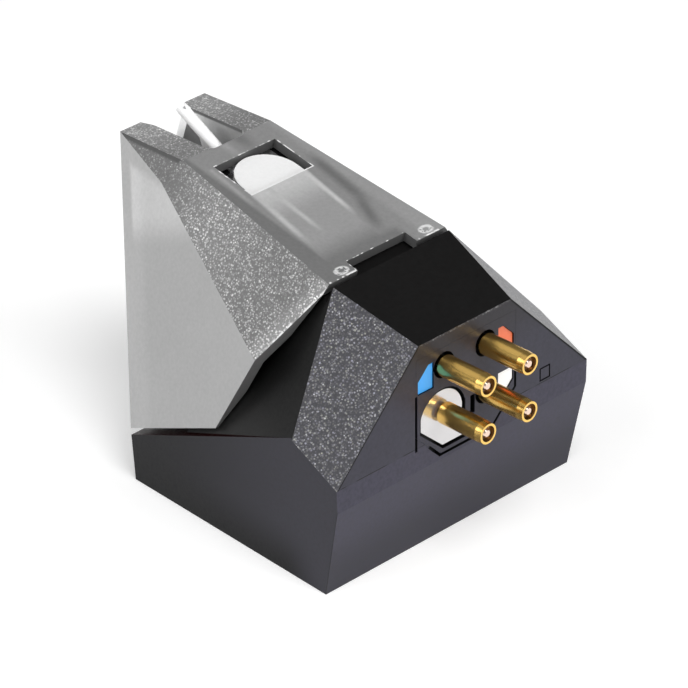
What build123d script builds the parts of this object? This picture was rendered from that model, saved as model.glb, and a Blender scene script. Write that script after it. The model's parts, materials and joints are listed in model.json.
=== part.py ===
from build123d import *

import os
from math import cos, radians, sin, tan

# Moving magnet phono cartridge with a replaceable stylus unit, in millimetres.
# It stands on its mounting face: Z runs from the mounting face up to the stylus, Y runs to the front.
# The origin lies on the mounting face, midway between the two mounting screw holes.

os.makedirs("parts", exist_ok=True)

# Mounting screws
screw_spacing = 12.7
screw_hole_diameter = 2.05
screw_hole_depth = 4.0

# Mounting base, a wedge block under the whole cartridge
base_front_reach = 4.80
base_front_width = 16.32
base_front_height = 2.70
base_front_lean = 3.6
base_rear_reach = 10.33
base_rear_width = 18.0
base_rear_height = 6.69
base_rear_overhang = 1.08
base_crease_height = 5.35
base_peak_reach = 8.05
base_peak_height = 8.38
base_side_draft = 1.37
lead_bay_height = 6.60
lead_bay_length = 2.80

# Body shell, the faceted housing on the base
crown_rear_width = 6.76
crown_rear_height = 12.70
crown_front_width = 8.40
crown_front_reach = 6.22
crown_front_height = 14.37
nose_width = 5.80
nose_setback = 4.40
flank_inset = 0.35

# Stylus guard, the outer facets
guard_gap = 0.35
guard_front_reach = 5.04
guard_front_width = 16.36
guard_rear_reach = 1.76
guard_rear_width = 16.82
prong_reach = 10.79
prong_height = 16.62
prong_span = 6.12
prong_fall = 1.40
ridge_rear_reach = 3.70
ridge_rear_height = 10.39
ridge_front_reach = 6.55
ridge_front_height = 15.55
roof_rear_reach = 6.09
roof_rear_height = 14.40
roof_rear_width = 8.46
roof_pitch = 11.10

# Stylus guard, walls and openings; places along the roof are counted from its rear edge
guard_wall = 0.65
guard_roof = 0.55
guard_fit = 0.15
slot_width = 2.70
slot_corner = 0.45
vee_width = 3.18
vee_depth = 1.94
window_rear = 7.98
window_front = 10.84
window_side_gap = 0.29
window_front_gap = 0.10
roof_bridge = 1.21
prong_depth = 2.60
rim_setback = 0.17
tab_notch_width = 4.30
tab_notch_depth = 1.05

# Stylus holder, a round-ended plug under the roof
holder_width = 3.80
holder_rear = 3.60
holder_depth = 3.90
holder_fit = 0.15
pad_depth = 0.28
pad_gap = 0.08

# Cantilever and its suspension, placed along the cantilever's own line from its pivot
pivot_setback = 0.84
pivot_depth = 1.75
cantilever_pitch = 28.3
cantilever_length = 6.0
cantilever_diameter = 0.66
cantilever_bore = 0.46
tip_flat_length = 0.90
tip_flat_thickness = 0.22
sleeve_diameter = 1.90
sleeve_bore = 1.50
sleeve_front = 1.10
sleeve_rear = 2.95
sleeve_cap = 0.35
sleeve_fit = 0.02
damper_thickness = 0.50
damper_outer_gap = 0.04
damper_inner_gap = 0.03
magnet_diameter = 0.90
magnet_length = 1.80
magnet_bore = 0.44
magnet_gap = 0.05
wire_diameter = 0.10
wire_fit = 0.01
diamond_width = 0.16
diamond_shank = 0.34
diamond_point = 0.14
diamond_taper = 26.0
diamond_turn = 45.0
diamond_setback = 0.30
diamond_fit = 0.01

# Generator: four pole pieces with their bobbins and windings, and the yoke that ties them
generator_drop = 0.60
pole_width = 0.50
pole_height = 0.80
pole_spread = 2.30
pole_tip = 1.20
pole_fit = 0.05
bobbin_front = 7.50
bobbin_length = 3.0
bobbin_flange = 0.25
bobbin_flange_diameter = 2.10
bobbin_core_diameter = 1.34
bobbin_fit = 0.02
winding_diameter = 1.96
yoke_thickness = 0.70
yoke_margin = 0.05
yoke_gap = 0.15
chamber_gap = 0.25

# Terminal plate with its pins and colour chips
plate_width = 7.28
plate_shift = 0.11
plate_head = 1.04
plate_foot = 2.44
plate_corner = 1.73
plate_thickness = 1.60
plate_gap = 0.01
groove_width = 0.17
groove_depth = 0.35
groove_left_rise = 1.71
groove_left_fall = 1.55
groove_right_rise = 0.25
groove_vee_rise = 0.80
groove_vee_end = 0.56
pin_diameter = 1.22
pin_spacing = 3.04
pin_upper_height = 10.86
pin_lower_height = 8.08
pin_reach = 3.12
pin_tail = 0.60
pin_shank_diameter = 0.80
pin_stand = 0.10
pin_lip_length = 0.42
pin_lip_taper = 0.04
pin_cup_diameter = 0.88
pin_cup_depth = 0.20
pin_dome_diameter = 0.60
pin_dome_slope = 0.12
pin_dome_drop = 0.06
pin_fit = 0.01
pin_ring_diameter = 1.48
pin_ring_depth = 0.60
chip_width = 1.12
chip_height = 1.50
chip_corner = 0.75
chip_thickness = 0.35
chip_recess = 0.45
chip_offset = 1.42
chip_upper_shift = -0.30
chip_lower_shift = -0.20
chip_fit = 0.02
pale_diameter = 3.06
pale_across = -0.10
pale_drop = 0.27
pale_left = 1.58
pale_right = 1.42
pale_low = 2.0
pale_cut_height = 0.60
pale_moat = 0.16
pale_bore_gap = 0.03
slit_width = 0.34
slit_height = 1.10
slit_across = 0.59
slit_drop = 0.43
slit_depth = 0.40

# Small square moulding mark on the rear of the body shell
mark_size = 0.80
mark_island = 0.62
mark_across = 6.0
mark_level = 7.22
mark_depth = 0.10

# A block larger than the cartridge, from which the faceted forms are cut
stock = 60.0


def across(point):
    return Vector(-point.X, point.Y, point.Z)


def facet(a, b, c):
    # a plane through three points, facing away from the middle of the cartridge
    normal = (b - a).cross(c - a).normalized()
    if (heart - a).dot(normal) > 0:
        normal = -normal
    return Plane(origin=a, z_dir=normal)


def facet_pair(a, b, c):
    return [facet(a, b, c), facet(across(a), across(b), across(c))]


def ramp(y, z, pitch):
    # a plane across the cartridge that rises towards the front by this pitch
    return Plane(origin=(0, y, z), x_dir=(1, 0, 0), z_dir=(0, -sin(radians(pitch)), cos(radians(pitch))))


def trim(planes, inset=0.0):
    for plane in planes:
        split(bisect_by=plane.offset(-inset), keep=Keep.BOTTOM)


def strip(rear, front, width, mode=Mode.ADD):
    # a rectangle across the middle line, between two distances along it
    with Locations((0, (rear + front) / 2)):
        Rectangle(width, front - rear, mode=mode)


def save(piece, name):
    piece.part.label = name
    export_step(piece.part, f"parts/{name}.step")


# Form of the base
base_front_top = base_front_reach + base_front_height * tan(radians(base_front_lean))
rear_y = -(base_rear_reach + base_rear_overhang)
base_taper = (base_rear_width - base_front_width) / 2 / (base_rear_reach + base_front_reach)
seat_slope = (base_peak_height - base_front_height) / (base_peak_reach + base_front_top)
heel_slope = (base_peak_height - base_rear_height) / (-base_peak_reach - rear_y)


def base_corner(y, z):
    # the point of the base's right side at this distance and height
    half_width = base_rear_width / 2 - base_taper * (y + base_rear_reach)
    return Vector(half_width + z * tan(radians(base_side_draft)), y, z)


def seat_height(y):
    # the sloping top of the base, under the guard
    return base_front_height + seat_slope * (base_front_top - y)


heart = Vector(0, -base_peak_reach / 2, base_peak_height)
rear_corner = base_corner(rear_y, base_rear_height)
peak_corner = base_corner(-base_peak_reach, base_peak_height)
base_sides = facet_pair(base_corner(-base_rear_reach, 0), base_corner(base_front_reach, 0), rear_corner)
base_profile = [
    (base_front_reach, 0),
    (base_front_top, base_front_height),
    (-base_peak_reach, base_peak_height),
    (rear_y, base_rear_height),
    (rear_y, base_crease_height),
    (-base_rear_reach, 0),
]
seat_profile = [
    (stock, seat_height(stock)),
    (-base_peak_reach, base_peak_height),
    (-stock, base_peak_height - heel_slope * (stock - base_peak_reach)),
    (-stock, -stock),
    (stock, -stock),
]

# Facets of the stylus guard
guard_rise = guard_gap * (1 + seat_slope**2) ** 0.5
guard_front_height = seat_height(guard_front_reach) + guard_rise
guard_rear_height = seat_height(-guard_rear_reach) + guard_rise
guard_front_foot = Vector(guard_front_width / 2, guard_front_reach, guard_front_height)
guard_rear_foot = Vector(guard_rear_width / 2, -guard_rear_reach, guard_rear_height)
prong_corner = Vector(prong_span / 2, prong_reach, prong_height)
roof_corner = Vector(roof_rear_width / 2, -roof_rear_reach, roof_rear_height)
guard_floor = facet(guard_front_foot, across(guard_front_foot), guard_rear_foot)
guard_front = facet(guard_front_foot, across(guard_front_foot), prong_corner)
cheeks = facet_pair(guard_front_foot, guard_rear_foot, prong_corner)


def on_facet(plane, y, z):
    # the point of a right-hand facet at this distance and height
    rise = (y - plane.origin.Y) * plane.z_dir.Y + (z - plane.origin.Z) * plane.z_dir.Z
    return Vector(plane.origin.X - rise / plane.z_dir.X, y, z)


ridge_rear = on_facet(cheeks[0], -ridge_rear_reach, ridge_rear_height)
ridge_front = on_facet(cheeks[0], ridge_front_reach, ridge_front_height)
slopes = facet_pair(ridge_rear, ridge_front, roof_corner)
guard_cuts = facet_pair(guard_rear_foot, ridge_rear, roof_corner)
roof = ramp(-roof_rear_reach, roof_rear_height, roof_pitch)
roof_rim = Plane(origin=roof.origin + roof.y_dir * rim_setback, x_dir=(1, 0, 0), z_dir=-roof.y_dir)
prong_top = ramp(prong_reach, prong_height, -prong_fall)
roof_rise = tan(radians(roof_pitch))
prong_drop = tan(radians(prong_fall))
bend_reach = (prong_height + prong_reach * prong_drop - roof_rear_height - roof_rear_reach * roof_rise) / (
    roof_rise + prong_drop
)
bend_height = roof_rear_height + (roof_rear_reach + bend_reach) * roof_rise
bevels = facet_pair(prong_corner, ridge_front, on_facet(slopes[0], bend_reach, bend_height))
front_panel = Plane(origin=prong_top.origin, x_dir=(1, 0, 0), z_dir=guard_front.z_dir)
window_width = holder_width + 2 * window_side_gap
holder_round = holder_width / 2
holder_centre = window_front - window_front_gap - holder_round
slot_rear = window_front + roof_bridge
slot_rim = Plane(origin=roof.origin + roof.y_dir * slot_rear, x_dir=(1, 0, 0), z_dir=-roof.y_dir)

# Facets of the body shell
crown_rear = Vector(crown_rear_width / 2, rear_y, crown_rear_height)
crown_front = Vector(crown_front_width / 2, -crown_front_reach, crown_front_height)
rear_face = facet(crown_rear, across(crown_rear), Vector(0, rear_y, 0))
crown = facet(crown_rear, across(crown_rear), crown_front)
shoulders = facet_pair(crown_front, crown_rear, rear_corner)
flanks = facet_pair(peak_corner, crown_front, guard_rear_foot - Vector(flank_inset, 0, 0))
nose_top = roof.offset(-(guard_roof + guard_fit))
nose_rear = Plane(origin=(0, -crown_front_reach, 0), x_dir=(1, 0, 0), z_dir=(0, -1, 0))


def nose_height(y):
    return nose_top.origin.Z + (y - nose_top.origin.Y) * tan(radians(roof_pitch))


step_profile = [
    (-crown_front_reach, nose_height(-crown_front_reach)),
    (stock, nose_height(stock)),
    (-crown_front_reach, nose_height(stock)),
]

# The cantilever's line: its pivot, its direction and the planes square to it
pivot = roof.from_local_coords(Vector(0, window_front - pivot_setback, -pivot_depth))
line = Vector(0, cos(radians(cantilever_pitch)), sin(radians(cantilever_pitch)))
axis = Plane(origin=pivot, x_dir=(1, 0, 0), z_dir=line)
lift = -axis.y_dir
magnet_front = -(damper_thickness / 2 + magnet_gap)
magnet_rear = magnet_front - magnet_length

# The generator's line, beside and below the cantilever's
generator = Plane(origin=pivot - lift * generator_drop, x_dir=(1, 0, 0), z_dir=line)
pole_offset = holder_width / 2 + holder_fit + pole_fit + pole_width / 2
bobbin_rear = bobbin_front + bobbin_length
pole_rear = bobbin_rear + yoke_gap
pack_half_width = pole_offset + bobbin_flange_diameter / 2 + chamber_gap
pack_half_height = pole_spread / 2 + bobbin_flange_diameter / 2 + chamber_gap
plate_inside = rear_y + plate_thickness
poles = {
    "left_upper": (-pole_offset, -pole_spread / 2),
    "left_lower": (-pole_offset, pole_spread / 2),
    "right_upper": (pole_offset, -pole_spread / 2),
    "right_lower": (pole_offset, pole_spread / 2),
}


def beside_line(along, up):
    # a point in the middle plane beside the generator's line, as its Y and Z
    point = generator.origin + line * along + lift * up
    return (point.Y, point.Z)


chamber_top_front = beside_line(chamber_gap - bobbin_front, pack_half_height)
chamber_low_front = beside_line(chamber_gap - bobbin_front, -pack_half_height)
chamber_top_rear = beside_line(-(pole_rear + yoke_thickness + chamber_gap), pack_half_height)
tail_top = pin_upper_height + pin_shank_diameter / 2 + chamber_gap
chamber_profile = [
    chamber_top_front,
    chamber_top_rear,
    (plate_inside + pin_tail + chamber_gap, tail_top),
    (plate_inside, tail_top),
    (plate_inside, 0),
    (chamber_low_front[0], 0),
    chamber_low_front,
]

# Outline of the terminal plate, and the places of its pins and chips
rear_plane = Plane(origin=(0, rear_y, 0), x_dir=(1, 0, 0), z_dir=(0, -1, 0))
plate_top = pin_upper_height + plate_head
plate_bottom = pin_lower_height - plate_foot
plate_left = plate_shift - plate_width / 2
plate_right = plate_shift + plate_width / 2
plate_outline = [
    (plate_right, plate_top),
    (plate_left, plate_top),
    (plate_left, plate_bottom + plate_corner),
    (plate_left + plate_corner, plate_bottom),
    (plate_right - plate_corner, plate_bottom),
    (plate_right, plate_bottom + plate_corner),
]
pins = {
    "upper_left": (-pin_spacing / 2, pin_upper_height),
    "upper_right": (pin_spacing / 2, pin_upper_height),
    "lower_left": (-pin_spacing / 2, pin_lower_height),
    "lower_right": (pin_spacing / 2, pin_lower_height),
}
chip_reach = pin_spacing / 2 + chip_offset
chips = {
    "code_chip_blue": (plate_shift - chip_reach, pin_upper_height + chip_upper_shift),
    "code_chip_red": (plate_shift + chip_reach, pin_upper_height + chip_upper_shift),
    "code_chip_white": (plate_shift + chip_reach, pin_lower_height + chip_lower_shift),
}


groove_left = [
    (plate_left, pin_lower_height + groove_left_rise),
    (plate_left, pin_lower_height - groove_left_fall),
]
groove_vee = [
    (plate_left + plate_corner - groove_vee_rise, plate_bottom + groove_vee_rise),
    (plate_left + plate_corner, plate_bottom),
    (groove_vee_end, plate_bottom),
]
groove_right = [
    (plate_right - plate_corner, plate_bottom),
    (plate_right, plate_bottom + plate_corner),
    (plate_right, pin_lower_height + groove_right_rise),
]
grooves = [groove_left, groove_vee, groove_right]


def pale_sides(top):
    # the straight sides of the pale plate, from this height down to its foot with a cut corner
    return [
        (-pale_left, top),
        (-pale_left, -pale_cut_height),
        (0, -pale_low),
        (pale_right, -pale_low),
        (pale_right, top),
    ]


def plate_face(gap=0):
    with BuildSketch(rear_plane.offset(-plate_thickness)) as face:
        with BuildLine():
            Polyline(*plate_outline, close=True)
        make_face()
        if gap:
            offset(amount=gap, kind=Kind.INTERSECTION)
    return face.sketch


def groove_face(points):
    with BuildSketch(rear_plane) as face:
        with BuildLine():
            Polyline(*points)
        trace(line_width=groove_width)
    return face.sketch


def chip_face(centre, gap=0):
    with BuildSketch(rear_plane.offset(-chip_recess)) as face:
        with Locations(centre):
            Rectangle(chip_width, chip_height)
        # the outer corner away from the other pins is cut off
        far_row = -1 if centre[1] > (pin_upper_height + pin_lower_height) / 2 else 0
        outer = -1 if centre[0] > 0 else 0
        chamfer(face.vertices().group_by(Axis.Y)[far_row].sort_by(Axis.X)[outer], chip_corner)
        if gap:
            offset(amount=gap, kind=Kind.INTERSECTION)
    return face.sketch


def pale_face(gap=0):
    with BuildSketch(rear_plane.offset(-chip_recess)) as face:
        with Locations(pins["lower_left"]):
            with Locations((pale_across, -pale_drop)):
                Circle(pale_diameter / 2)
            Polygon(*pale_sides(0), align=None)
            Polygon(*pale_sides(pale_diameter), align=None, mode=Mode.INTERSECT)
        if gap:
            offset(amount=gap, kind=Kind.INTERSECTION)
    return face.sketch


# Mounting base
with BuildPart() as mounting_base:
    with BuildSketch(Plane.YZ):
        with BuildLine():
            Polyline(*base_profile, close=True)
        make_face()
    extrude(amount=stock / 2, both=True)
    trim(base_sides)
    with Locations(-Plane.XY):
        with GridLocations(screw_spacing, 0, 2, 1):
            Hole(radius=screw_hole_diameter / 2, depth=screw_hole_depth)
    extrude(plate_face(plate_gap), amount=stock, mode=Mode.SUBTRACT)
    with BuildSketch(Plane.XY.offset(lead_bay_height)):
        strip(plate_inside, plate_inside + lead_bay_length, 2 * pack_half_width)
    extrude(amount=stock, mode=Mode.SUBTRACT)
    for points in grooves:
        extrude(groove_face(points), amount=-groove_depth, mode=Mode.SUBTRACT)
save(mounting_base, "mounting_base")

# Body shell: the rear housing, its nose inside the guard, the stylus socket and the generator's chamber
with BuildPart() as nose_form:
    Box(nose_width, stock, stock)
    trim([nose_top, nose_rear])
    trim(slopes + cheeks, guard_wall + guard_fit)
    trim([guard_front], nose_setback)

with BuildPart() as body_shell:
    Box(stock, stock, stock)
    trim([rear_face, crown] + shoulders + flanks)
    trim([guard_front], nose_setback)
    with BuildSketch(Plane.YZ):
        with BuildLine():
            Polyline(*step_profile, close=True)
        make_face()
    extrude(amount=stock, both=True, mode=Mode.SUBTRACT)
    add(nose_form.part)
    with BuildSketch(Plane.YZ):
        with BuildLine():
            Polyline(*seat_profile, close=True)
        make_face()
    extrude(amount=stock, both=True, mode=Mode.SUBTRACT)
    with BuildSketch(roof.offset(-(holder_depth + holder_fit))):
        strip(holder_rear - holder_fit, stock, holder_width + 2 * holder_fit)
    extrude(amount=stock, mode=Mode.SUBTRACT)
    with BuildSketch(generator.offset(-bobbin_front)):
        with Locations(*poles.values()):
            Rectangle(pole_width + 2 * pole_fit, pole_height + 2 * pole_fit)
    extrude(amount=bobbin_front - pole_tip + pole_fit, mode=Mode.SUBTRACT)
    with BuildSketch(Plane.YZ):
        with BuildLine():
            Polyline(*chamber_profile, close=True)
        make_face()
    extrude(amount=pack_half_width, both=True, mode=Mode.SUBTRACT)
    extrude(plate_face(plate_gap), amount=stock, mode=Mode.SUBTRACT)
    with BuildSketch(rear_plane):
        with Locations((mark_across, mark_level)):
            Rectangle(mark_size, mark_size)
            Rectangle(mark_island, mark_island, mode=Mode.SUBTRACT)
    extrude(amount=-mark_depth, mode=Mode.SUBTRACT)
    for points in grooves:
        extrude(groove_face(points), amount=-groove_depth, mode=Mode.SUBTRACT)
save(body_shell, "body_shell")

# Terminal plate
with BuildPart() as terminal_plate:
    extrude(plate_face(), amount=plate_thickness)
    with BuildSketch(rear_plane.offset(-plate_thickness)):
        with Locations(*pins.values()):
            Circle(pin_shank_diameter / 2 + pin_fit)
    extrude(amount=plate_thickness, mode=Mode.SUBTRACT)
    with BuildSketch(rear_plane.offset(-pin_ring_depth)):
        with Locations(*pins.values()):
            Circle(pin_ring_diameter / 2)
    extrude(amount=pin_ring_depth, mode=Mode.SUBTRACT)
    for place in chips.values():
        extrude(chip_face(place, chip_fit), amount=chip_recess, mode=Mode.SUBTRACT)
    extrude(pale_face(pale_moat), amount=chip_recess, mode=Mode.SUBTRACT)
    with BuildSketch(rear_plane):
        with Locations((slit_across, pin_lower_height - slit_drop)):
            Rectangle(slit_width, slit_height)
    extrude(amount=-slit_depth, mode=Mode.SUBTRACT)
    for points in grooves:
        extrude(groove_face(points), amount=-groove_depth, mode=Mode.SUBTRACT)
save(terminal_plate, "terminal_plate")

# Terminal pins, turned: a shank in the plate, a shoulder, a tapered lip, a cup and a domed centre
pin_profile = [
    (0, -(plate_thickness + pin_tail)),
    (pin_shank_diameter / 2, -(plate_thickness + pin_tail)),
    (pin_shank_diameter / 2, pin_stand),
    (pin_diameter / 2, pin_stand),
    (pin_diameter / 2, pin_reach - pin_lip_length),
    (pin_diameter / 2 - pin_lip_taper, pin_reach),
    (pin_cup_diameter / 2, pin_reach),
    (pin_cup_diameter / 2, pin_reach - pin_cup_depth),
    (pin_dome_diameter / 2, pin_reach - pin_cup_depth),
    (pin_dome_diameter / 2 - pin_dome_slope, pin_reach - pin_dome_drop),
    (0, pin_reach - pin_dome_drop),
]
for name, (x, z) in pins.items():
    root = (x, rear_y, z)
    with BuildPart() as terminal_pin:
        with BuildSketch(Plane(origin=root, x_dir=(1, 0, 0), z_dir=(0, 0, -1))):
            with BuildLine():
                Polyline(*pin_profile, close=True)
            make_face()
        revolve(axis=Axis(root, (0, -1, 0)))
    save(terminal_pin, f"terminal_pin_{name}")

# Colour chips beside the pins, and the pale plate round the lower left pin
for name, place in chips.items():
    with BuildPart() as code_chip:
        extrude(chip_face(place), amount=chip_thickness)
    save(code_chip, name)

with BuildPart() as code_plate_pale:
    extrude(pale_face(), amount=chip_thickness)
    with BuildSketch(rear_plane.offset(-chip_recess)):
        with Locations(pins["lower_left"]):
            Circle(pin_shank_diameter / 2 + pale_bore_gap)
    extrude(amount=chip_thickness, mode=Mode.SUBTRACT)
save(code_plate_pale, "code_plate_pale")

# Pole pieces, bobbins and windings
for name, place in poles.items():
    with BuildPart() as pole_piece:
        with BuildSketch(generator.offset(-pole_rear)):
            with Locations(place):
                Rectangle(pole_width, pole_height)
        extrude(amount=pole_rear - pole_tip)
    save(pole_piece, f"pole_piece_{name}")

    with BuildPart() as coil_bobbin:
        with BuildSketch(generator.offset(-bobbin_rear)):
            with Locations(place):
                Circle(bobbin_core_diameter / 2)
        extrude(amount=bobbin_length)
        with BuildSketch(generator.offset(-bobbin_rear), generator.offset(-bobbin_front - bobbin_flange)):
            with Locations(place):
                Circle(bobbin_flange_diameter / 2)
        extrude(amount=bobbin_flange)
        with BuildSketch(generator.offset(-bobbin_rear)):
            with Locations(place):
                Rectangle(pole_width + 2 * bobbin_fit, pole_height + 2 * bobbin_fit)
        extrude(amount=bobbin_length, mode=Mode.SUBTRACT)
    save(coil_bobbin, f"coil_bobbin_{name}")

    with BuildPart() as coil_winding:
        with BuildSketch(generator.offset(bobbin_flange - bobbin_rear)):
            with Locations(place):
                Circle(winding_diameter / 2)
                Circle(bobbin_core_diameter / 2, mode=Mode.SUBTRACT)
        extrude(amount=bobbin_length - 2 * bobbin_flange)
    save(coil_winding, f"coil_winding_{name}")

# Yoke across the rear ends of the pole pieces
with BuildPart() as yoke:
    with BuildSketch(generator.offset(-pole_rear - yoke_thickness)):
        Rectangle(2 * pole_offset + pole_width + 2 * yoke_margin, pole_spread + pole_height + 2 * yoke_margin)
    extrude(amount=yoke_thickness)
save(yoke, "yoke")

# Stylus guard: a faceted shell with two prongs, a vee in its front, a window and a notched rear edge
with BuildPart() as guard_cavity:
    Box(stock, stock, stock)
    trim([guard_front] + cheeks + slopes + bevels, guard_wall)
    trim([roof, prong_top], guard_roof)

with BuildPart() as flank_room:
    Box(stock, stock, stock)
    trim(flanks, -guard_fit)
    trim([guard_front], nose_setback)
    trim([roof], guard_roof)

with BuildPart() as prongs:
    Box(stock, stock, stock)
    trim([guard_front, roof, prong_top, slot_rim] + cheeks + slopes + bevels)
    split(bisect_by=prong_top.offset(-prong_depth), keep=Keep.TOP)

with BuildPart() as slot_room:
    slot_back = prong_top.to_local_coords(roof.from_local_coords(Vector(0, slot_rear, 0))).Y
    with BuildSketch(prong_top) as slot:
        strip(slot_back, 0, slot_width)
        fillet(slot.vertices().group_by(Axis.Y)[0], slot_corner)
    extrude(amount=2 * prong_depth, both=True)
    trim([guard_front], guard_wall)

with BuildPart() as stylus_guard:
    Box(stock, stock, stock)
    trim([guard_floor, guard_front, roof, prong_top, roof_rim] + cheeks + slopes + bevels + guard_cuts)
    add(guard_cavity.part, mode=Mode.SUBTRACT)
    add(flank_room.part, mode=Mode.SUBTRACT)
    add(prongs.part)
    add(slot_room.part, mode=Mode.SUBTRACT)
    with BuildSketch(front_panel):
        with BuildLine():
            Polyline((-vee_width, -vee_depth), (vee_width, -vee_depth), (0, vee_depth), close=True)
        make_face()
    extrude(amount=-2 * guard_wall, mode=Mode.SUBTRACT)
    with BuildSketch(roof):
        strip(window_rear, window_front, window_width)
        strip(-tab_notch_depth, tab_notch_depth, tab_notch_width)
    extrude(amount=2 * guard_roof, both=True, mode=Mode.SUBTRACT)
save(stylus_guard, "stylus_guard")

# Stylus holder with the raised pad that shows in the window
with BuildPart() as stylus_holder:
    with BuildSketch(roof.offset(-holder_depth)):
        strip(holder_rear, holder_centre, holder_width)
        with Locations((0, holder_centre)):
            Circle(holder_round)
    extrude(amount=holder_depth - guard_roof)
    with BuildSketch(roof.offset(-guard_roof)):
        strip(holder_rear, holder_centre, holder_width)
        with Locations((0, holder_centre)):
            Circle(holder_round)
        strip(window_rear + pad_gap, window_front, window_width, Mode.INTERSECT)
    extrude(amount=guard_roof - pad_depth)
    with BuildSketch(axis.offset(-sleeve_rear)):
        Circle(sleeve_diameter / 2 + sleeve_fit)
    extrude(amount=stock, mode=Mode.SUBTRACT)
save(stylus_holder, "stylus_holder")

# Suspension sleeve, closed at the rear round the tie wire
with BuildPart() as suspension_sleeve:
    with BuildSketch(axis.offset(-sleeve_rear)):
        Circle(sleeve_diameter / 2)
    extrude(amount=sleeve_rear + sleeve_front)
    with BuildSketch(axis.offset(sleeve_cap - sleeve_rear)):
        Circle(sleeve_bore / 2)
    extrude(amount=stock, mode=Mode.SUBTRACT)
    with BuildSketch(axis.offset(-sleeve_rear)):
        Circle(wire_diameter / 2 + wire_fit)
    extrude(amount=sleeve_cap, mode=Mode.SUBTRACT)
save(suspension_sleeve, "suspension_sleeve")

# Rubber damper round the cantilever, at the pivot
with BuildPart() as suspension_damper:
    with BuildSketch(axis.offset(-damper_thickness / 2)):
        Circle(sleeve_bore / 2 - damper_outer_gap)
        Circle(cantilever_diameter / 2 + damper_inner_gap, mode=Mode.SUBTRACT)
    extrude(amount=damper_thickness)
save(suspension_damper, "suspension_damper")

# Tie wire from the sleeve's cap through the magnet
with BuildPart() as tie_wire:
    with BuildSketch(axis.offset(-sleeve_rear)):
        Circle(wire_diameter / 2)
    extrude(amount=sleeve_rear + magnet_front)
save(tie_wire, "tie_wire")

# Magnet on the rear end of the cantilever
with BuildPart() as magnet:
    with BuildSketch(axis.offset(magnet_rear)):
        Circle(magnet_diameter / 2)
        Circle(magnet_bore / 2, mode=Mode.SUBTRACT)
    extrude(amount=magnet_length)
save(magnet, "magnet")

# Cantilever, a tube with a flattened tip
flat_turn = (cantilever_diameter - tip_flat_thickness) / 2 / tip_flat_length
tip_flats = [
    Plane(
        origin=pivot + line * (cantilever_length - tip_flat_length) + lift * side * cantilever_diameter / 2,
        z_dir=lift * side + line * flat_turn,
    )
    for side in (-1, 1)
]
diamond_seat = pivot + line * (cantilever_length - diamond_setback) - Vector(0, 0, diamond_shank / 2)
diamond_plane = Plane(origin=diamond_seat, x_dir=(1, 0, 0), z_dir=(0, 0, 1))

with BuildPart() as cantilever:
    with BuildSketch(axis.offset(magnet_front)):
        Circle(cantilever_diameter / 2)
    extrude(amount=cantilever_length - magnet_front)
    with BuildSketch(axis.offset(magnet_front)):
        Circle(cantilever_bore / 2)
    extrude(amount=cantilever_length - magnet_front - tip_flat_length, mode=Mode.SUBTRACT)
    trim(tip_flats)
    with BuildSketch(diamond_plane):
        Rectangle(diamond_width + 2 * diamond_fit, diamond_width + 2 * diamond_fit, rotation=diamond_turn)
    extrude(amount=diamond_shank, both=True, mode=Mode.SUBTRACT)
save(cantilever, "cantilever")

# Diamond stylus, a square shank ground to a point
with BuildPart() as stylus_tip:
    with BuildSketch(diamond_plane):
        Rectangle(diamond_width, diamond_width, rotation=diamond_turn)
    extrude(amount=diamond_shank)
    extrude(stylus_tip.faces().sort_by(Axis.Z)[-1], amount=diamond_point, taper=diamond_taper)
save(stylus_tip, "stylus_tip")
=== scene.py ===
import json
from math import radians

import bpy
from mathutils import Matrix, Vector


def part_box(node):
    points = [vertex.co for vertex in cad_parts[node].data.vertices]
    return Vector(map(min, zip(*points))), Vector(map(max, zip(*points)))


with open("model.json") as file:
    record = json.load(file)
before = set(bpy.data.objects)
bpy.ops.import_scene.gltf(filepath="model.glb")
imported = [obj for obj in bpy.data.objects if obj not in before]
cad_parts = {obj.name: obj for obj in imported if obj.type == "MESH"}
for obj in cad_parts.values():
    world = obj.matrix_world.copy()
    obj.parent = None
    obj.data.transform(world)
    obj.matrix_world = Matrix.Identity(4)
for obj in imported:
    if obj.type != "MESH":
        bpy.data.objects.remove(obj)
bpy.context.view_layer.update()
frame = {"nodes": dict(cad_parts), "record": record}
scene = bpy.context.scene
scene.view_settings.view_transform = "Standard"
mm = 0.001
print("frame loaded:", len(frame["nodes"]), "nodes")


# Node tools: a value that is a socket is linked, any other value is set
def feed(tree, socket, value):
    if isinstance(value, bpy.types.NodeSocket):
        tree.links.new(value, socket)
    else:
        socket.default_value = value


def addNode(tree, kind, values=None, **settings):
    made = tree.nodes.new("ShaderNode" + kind)
    for name, value in settings.items():
        setattr(made, name, value)
    for socket, value in (values or {}).items():
        feed(tree, made.inputs[socket], value)
    return made


def calc(tree, operation, *terms):
    return addNode(tree, "Math", dict(enumerate(terms)), operation=operation).outputs[0]


def overlap(tree, *masks):
    # where all of these masks hold
    joint = masks[0]
    for mask in masks[1:]:
        joint = calc(tree, "MULTIPLY", joint, mask)
    return joint


def either(tree, *masks):
    # where any of these masks holds
    joint = masks[0]
    for mask in masks[1:]:
        joint = calc(tree, "MAXIMUM", joint, mask)
    return joint


def apart(tree, value, middle):
    # how far a value lies from this middle, to either side
    return calc(tree, "ABSOLUTE", calc(tree, "SUBTRACT", value, middle))


def lengthOf(tree, across, along):
    squares = [calc(tree, "POWER", part, 2.0) for part in (across, along)]
    return calc(tree, "SQRT", calc(tree, "ADD", *squares))


def fade(tree, value, start, end, low=0.0, high=1.0):
    # runs softly from low at start to high at end
    ends = {0: value, 1: start, 2: end, 3: low, 4: high}
    return addNode(tree, "MapRange", ends, interpolation_type="SMOOTHSTEP").outputs[0]


def lineOf(tree, distance, width):
    # a line this wide, soft over its outer half
    return fade(tree, distance, width, width / 2)


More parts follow.
